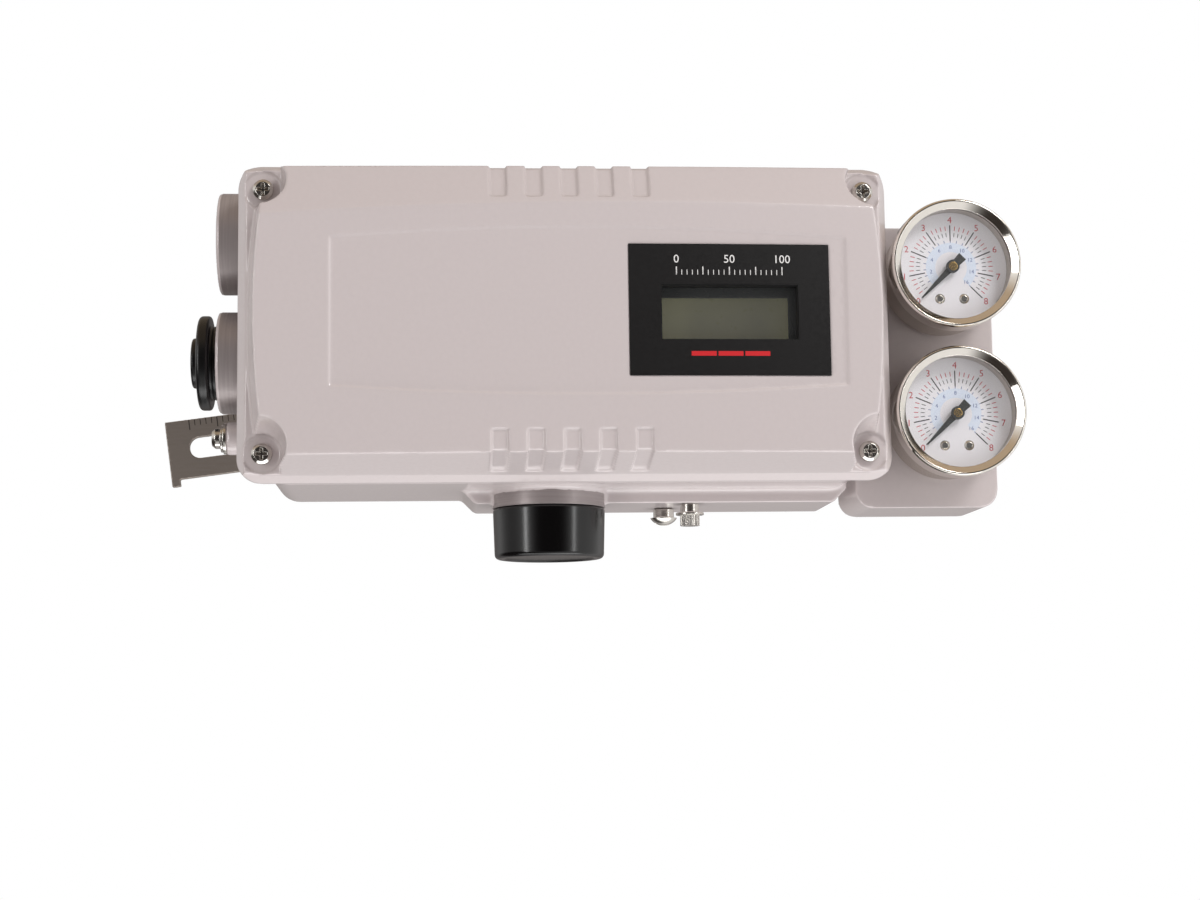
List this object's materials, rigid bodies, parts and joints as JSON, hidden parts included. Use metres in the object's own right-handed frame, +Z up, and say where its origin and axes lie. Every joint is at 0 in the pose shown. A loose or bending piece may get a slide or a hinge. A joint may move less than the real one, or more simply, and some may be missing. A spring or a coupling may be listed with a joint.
{
  "type": "valve positioner",
  "caption": "Die-cast valve positioner with a screwed display cover, twin pressure gauges, cable entries, a vent cap and a slotted feedback lever at the rear.",
  "frame": {"origin": "on the feedback shaft's axis, in the plane of the rear mounting face, which is the middle of the four rear mounting holes", "axes": "+X to the right seen from the front, -Y out of the front cover, +Y out of the rear face, +Z up"},
  "size_m": [0.292, 0.1156, 0.1282],
  "materials": {
    "grey_paint": "satin powder coat on die-cast aluminium",
    "rubber": "moulded, matte",
    "stainless": "turned, satin",
    "gauge_steel": "pressed, polished",
    "chrome": "polished",
    "brass": "turned",
    "bronze": "sintered",
    "black_plastic": "moulded, fine satin",
    "label": "printed film, semi-gloss",
    "glass": "clear",
    "dial_white": "printed white",
    "pointer_black": "black paint",
    "board": "solder resist on glass epoxy",
    "lcd": "reflective display glass",
    "terminal_green": "moulded",
    "button_red": "moulded",
    "soft_iron": "machined, zinc plated",
    "copper": "enamelled wire, taped",
    "alloy": "machined",
    "sensor_blue": "moulded",
    "nylon": "moulded",
    "lever_steel": "rolled sheet, dull",
    "spring_steel": "oiled",
    "felt": "pressed felt"
  },
  "bodies": {
    "housing": {"base_housing": "grey_paint", "gauge_block": "grey_paint", "cover_gasket": "rubber", "block_gasket": "rubber", "block_screws": "stainless", "earth_screw_side": "stainless", "earth_screw_low": "stainless", "terminal_screws": "stainless", "pcb_screws": "stainless", "flapper_pivot": "stainless", "pot_bracket": "stainless", "pot_screws": "stainless", "upper_gauge_case": "gauge_steel", "lower_gauge_case": "gauge_steel", "upper_gauge_bezel": "chrome", "lower_gauge_bezel": "chrome", "upper_gauge_stem": "brass", "lower_gauge_stem": "brass", "pcb_pillars": "brass", "air_nozzle": "brass", "pilot_caps": "brass", "shaft_bushes": "bronze", "conduit_plug": "black_plastic", "vent_cap": "black_plastic", "lcd_module": "black_plastic", "button_bases": "black_plastic", "upper_gauge_lens": "glass", "lower_gauge_lens": "glass", "upper_gauge_dial": "dial_white", "lower_gauge_dial": "dial_white", "main_pcb": "board", "lcd_glass": "lcd", "terminal_block": "terminal_green", "torque_yoke": "soft_iron", "torque_coil": "copper", "pilot_block": "alloy", "potentiometer": "sensor_blue", "vent_filter": "felt"},
    "cover": {"cover_shell": "grey_paint", "cover_screws": "stainless", "display_label": "label", "display_window": "glass", "window_frame": "black_plastic"},
    "feedback_shaft": {"main_shaft": "stainless", "main_gear": "brass", "retaining_ring": "spring_steel", "feedback_lever": "lever_steel", "lever_washer": "stainless", "lever_nut": "stainless"},
    "sensor_rotor": {"pot_pinion": "nylon"},
    "upper_pointer": {"upper_gauge_pointer": "pointer_black"},
    "lower_pointer": {"lower_gauge_pointer": "pointer_black"},
    "spool": {"pilot_spool": "stainless"},
    "flapper": {"torque_flapper": "stainless"},
    "selector": {"auto_manual_screw": "stainless"},
    "up_key": {"button_up": "button_red"},
    "down_key": {"button_down": "button_red"},
    "enter_key": {"button_enter": "button_red"},
    "escape_key": {"button_escape": "button_red"}
  },
  "joints": [
    {"name": "cover_lift", "type": "slide", "parent": "housing", "child": "cover", "axis": [0, -1, 0], "range_m": [0, 0.1]},
    {"name": "lever_turn", "type": "hinge", "parent": "housing", "child": "feedback_shaft", "pos_m": [0, 0, 0], "axis": [0, 1, 0], "range_deg": [-22.6, 37.4]},
    {"name": "sensor_turn", "type": "hinge", "parent": "housing", "child": "sensor_rotor", "pos_m": [0, -0.032, 0.028], "axis": [0, 1, 0], "range_deg": [-94.5, 57.5]},
    {"name": "upper_pointer_turn", "type": "hinge", "parent": "housing", "child": "upper_pointer", "pos_m": [0.177, -0.06, 0.04035], "axis": [0, 1, 0], "range_deg": [0, 270], "stiffness_Nm_per_rad": 0.0004},
    {"name": "lower_pointer_turn", "type": "hinge", "parent": "housing", "child": "lower_pointer", "pos_m": [0.177, -0.06, -0.00925], "axis": [0, 1, 0], "range_deg": [0, 270], "stiffness_Nm_per_rad": 0.0004},
    {"name": "spool_slide", "type": "slide", "parent": "housing", "child": "spool", "axis": [0, 0, 1], "range_m": [-0.002, 0.002], "stiffness_N_per_m": 1500},
    {"name": "flapper_tilt", "type": "hinge", "parent": "housing", "child": "flapper", "pos_m": [0.075, -0.03225, 0.039], "axis": [0, 0, 1], "range_deg": [-1.2, 1.2], "stiffness_Nm_per_rad": 0.05},
    {"name": "selector_turn", "type": "hinge", "parent": "housing", "child": "selector", "pos_m": [0.0831, -0.014, -0.0363], "axis": [0, 0, 1], "range_deg": [0, 330]},
    {"name": "up_press", "type": "slide", "parent": "housing", "child": "up_key", "axis": [0, 1, 0], "range_m": [0, 0.0005], "stiffness_N_per_m": 400},
    {"name": "down_press", "type": "slide", "parent": "housing", "child": "down_key", "axis": [0, 1, 0], "range_m": [0, 0.0005], "stiffness_N_per_m": 400},
    {"name": "enter_press", "type": "slide", "parent": "housing", "child": "enter_key", "axis": [0, 1, 0], "range_m": [0, 0.0005], "stiffness_N_per_m": 400},
    {"name": "escape_press", "type": "slide", "parent": "housing", "child": "escape_key", "axis": [0, 1, 0], "range_m": [0, 0.0005], "stiffness_N_per_m": 400}
  ],
  "couplings": [
    {"joint": "sensor_turn", "follows": "lever_turn", "ratio": -2.5}
  ]
}
